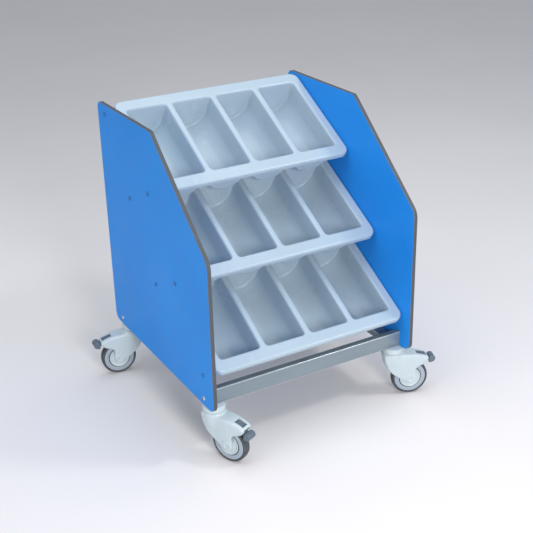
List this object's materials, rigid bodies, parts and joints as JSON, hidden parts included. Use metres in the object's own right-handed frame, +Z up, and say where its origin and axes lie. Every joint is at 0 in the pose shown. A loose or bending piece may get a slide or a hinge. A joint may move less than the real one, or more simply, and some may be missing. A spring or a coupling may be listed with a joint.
{
  "type": "cutlery tray trolley",
  "caption": "Mobile trolley with flat side panels, tilted cutlery trays with round-bottomed compartments, a tube frame and swivel brake casters.",
  "frame": {"origin": "on the floor under the middle of the side panels", "axes": "+X to the right seen from the low front, +Y towards the tall back, +Z up"},
  "size_m": [0.7416, 0.6929, 0.7488],
  "materials": {
    "panel_laminate": "satin blue face with a dark brown-grey edge",
    "tray_plastic": "smooth moulded light grey",
    "frame_steel": "satin grey",
    "screw_steel": "bright",
    "screw_blue": "blue lacquer",
    "caster_plastic": "smooth moulded off-white",
    "wheel_plastic": "blue-grey rim with a paler disc",
    "pedal_plastic": "fine matt slate grey",
    "tyre": "matt dark grey"
  },
  "bodies": {
    "frame": {"panel_left": "panel_laminate", "panel_right": "panel_laminate", "bar_top_front": "frame_steel", "bar_top_rear": "frame_steel", "bar_middle_front": "frame_steel", "bar_middle_rear": "frame_steel", "bar_bottom_front": "frame_steel", "bar_bottom_rear": "frame_steel", "tube_front": "frame_steel", "tube_rear": "frame_steel", "tube_left": "frame_steel", "tube_right": "frame_steel", "screw_left_bar_top_front": "screw_blue", "screw_left_bar_top_rear": "screw_blue", "screw_left_bar_middle_front": "screw_blue", "screw_left_bar_middle_rear": "screw_blue", "screw_left_bar_bottom_front": "screw_blue", "screw_left_bar_bottom_rear": "screw_blue", "screw_left_tube_front": "screw_steel", "screw_left_tube_rear": "screw_steel", "screw_right_bar_top_front": "screw_blue", "screw_right_bar_top_rear": "screw_blue", "screw_right_bar_middle_front": "screw_blue", "screw_right_bar_middle_rear": "screw_blue", "screw_right_bar_bottom_front": "screw_blue", "screw_right_bar_bottom_rear": "screw_blue", "screw_right_tube_front": "screw_steel", "screw_right_tube_rear": "screw_steel", "caster_front_left_collar": "caster_plastic", "caster_front_right_collar": "caster_plastic", "caster_rear_left_collar": "caster_plastic", "caster_rear_right_collar": "caster_plastic"},
    "tray_top": {"tray_top": "tray_plastic"},
    "tray_middle": {"tray_middle": "tray_plastic"},
    "tray_bottom": {"tray_bottom": "tray_plastic"},
    "caster_front_left_swivel": {"caster_front_left_housing": "caster_plastic", "caster_front_left_axle": "screw_steel"},
    "caster_front_left_wheel": {"caster_front_left_wheel": "wheel_plastic", "caster_front_left_tyre": "tyre"},
    "caster_front_left_pedal": {"caster_front_left_pedal": "pedal_plastic"},
    "caster_front_right_swivel": {"caster_front_right_housing": "caster_plastic", "caster_front_right_axle": "screw_steel"},
    "caster_front_right_wheel": {"caster_front_right_wheel": "wheel_plastic", "caster_front_right_tyre": "tyre"},
    "caster_front_right_pedal": {"caster_front_right_pedal": "pedal_plastic"},
    "caster_rear_left_swivel": {"caster_rear_left_housing": "caster_plastic", "caster_rear_left_axle": "screw_steel"},
    "caster_rear_left_wheel": {"caster_rear_left_wheel": "wheel_plastic", "caster_rear_left_tyre": "tyre"},
    "caster_rear_left_pedal": {"caster_rear_left_pedal": "pedal_plastic"},
    "caster_rear_right_swivel": {"caster_rear_right_housing": "caster_plastic", "caster_rear_right_axle": "screw_steel"},
    "caster_rear_right_wheel": {"caster_rear_right_wheel": "wheel_plastic", "caster_rear_right_tyre": "tyre"},
    "caster_rear_right_pedal": {"caster_rear_right_pedal": "pedal_plastic"}
  },
  "joints": [
    {"name": "tray_top_lift", "type": "slide", "parent": "frame", "child": "tray_top", "axis": [0, -0.4924, 0.8704], "range_m": [0, 0.12]},
    {"name": "tray_middle_lift", "type": "slide", "parent": "frame", "child": "tray_middle", "axis": [0, -0.4924, 0.8704], "range_m": [0, 0.004]},
    {"name": "tray_bottom_lift", "type": "slide", "parent": "frame", "child": "tray_bottom", "axis": [0, -0.4924, 0.8704], "range_m": [0, 0.004]},
    {"name": "caster_front_left_swivel_turn", "type": "hinge", "parent": "frame", "child": "caster_front_left_swivel", "pos_m": [-0.2585, -0.2407, 0.141], "axis": [0, 0, 1], "continuous": true},
    {"name": "caster_front_left_wheel_roll", "type": "hinge", "parent": "caster_front_left_swivel", "child": "caster_front_left_wheel", "pos_m": [-0.23833, -0.28204, 0.0475], "axis": [0.8988, 0.4384, 0], "continuous": true},
    {"name": "caster_front_left_pedal_press", "type": "hinge", "parent": "caster_front_left_swivel", "child": "caster_front_left_pedal", "pos_m": [-0.23351, -0.29193, 0.104], "axis": [0.8988, 0.4384, 0], "range_deg": [-15, 0]},
    {"name": "caster_front_right_swivel_turn", "type": "hinge", "parent": "frame", "child": "caster_front_right_swivel", "pos_m": [0.2585, -0.2407, 0.141], "axis": [0, 0, 1], "continuous": true},
    {"name": "caster_front_right_wheel_roll", "type": "hinge", "parent": "caster_front_right_swivel", "child": "caster_front_right_wheel", "pos_m": [0.30173, -0.25643, 0.0475], "axis": [0.342, 0.9397, 0], "continuous": true},
    {"name": "caster_front_right_pedal_press", "type": "hinge", "parent": "caster_front_right_swivel", "child": "caster_front_right_pedal", "pos_m": [0.31206, -0.2602, 0.104], "axis": [0.342, 0.9397, 0], "range_deg": [0, 15]},
    {"name": "caster_rear_left_swivel_turn", "type": "hinge", "parent": "frame", "child": "caster_rear_left_swivel", "pos_m": [-0.2585, 0.2407, 0.141], "axis": [0, 0, 1], "continuous": true},
    {"name": "caster_rear_left_wheel_roll", "type": "hinge", "parent": "caster_rear_left_swivel", "child": "caster_rear_left_wheel", "pos_m": [-0.30416, 0.24631, 0.0475], "axis": [-0.1219, -0.9925, 0], "continuous": true},
    {"name": "caster_rear_left_pedal_press", "type": "hinge", "parent": "caster_rear_left_swivel", "child": "caster_rear_left_pedal", "pos_m": [-0.31507, 0.24765, 0.104], "axis": [-0.1219, -0.9925, 0], "range_deg": [0, 15]},
    {"name": "caster_rear_right_swivel_turn", "type": "hinge", "parent": "frame", "child": "caster_rear_right_swivel", "pos_m": [0.2585, 0.2407, 0.141], "axis": [0, 0, 1], "continuous": true},
    {"name": "caster_rear_right_wheel_roll", "type": "hinge", "parent": "caster_rear_right_swivel", "child": "caster_rear_right_wheel", "pos_m": [0.23833, 0.28204, 0.0475], "axis": [-0.8988, -0.4384, 0], "continuous": true},
    {"name": "caster_rear_right_pedal_press", "type": "hinge", "parent": "caster_rear_right_swivel", "child": "caster_rear_right_pedal", "pos_m": [0.23351, 0.29193, 0.104], "axis": [-0.8988, -0.4384, 0], "range_deg": [0, 15]}
  ]
}
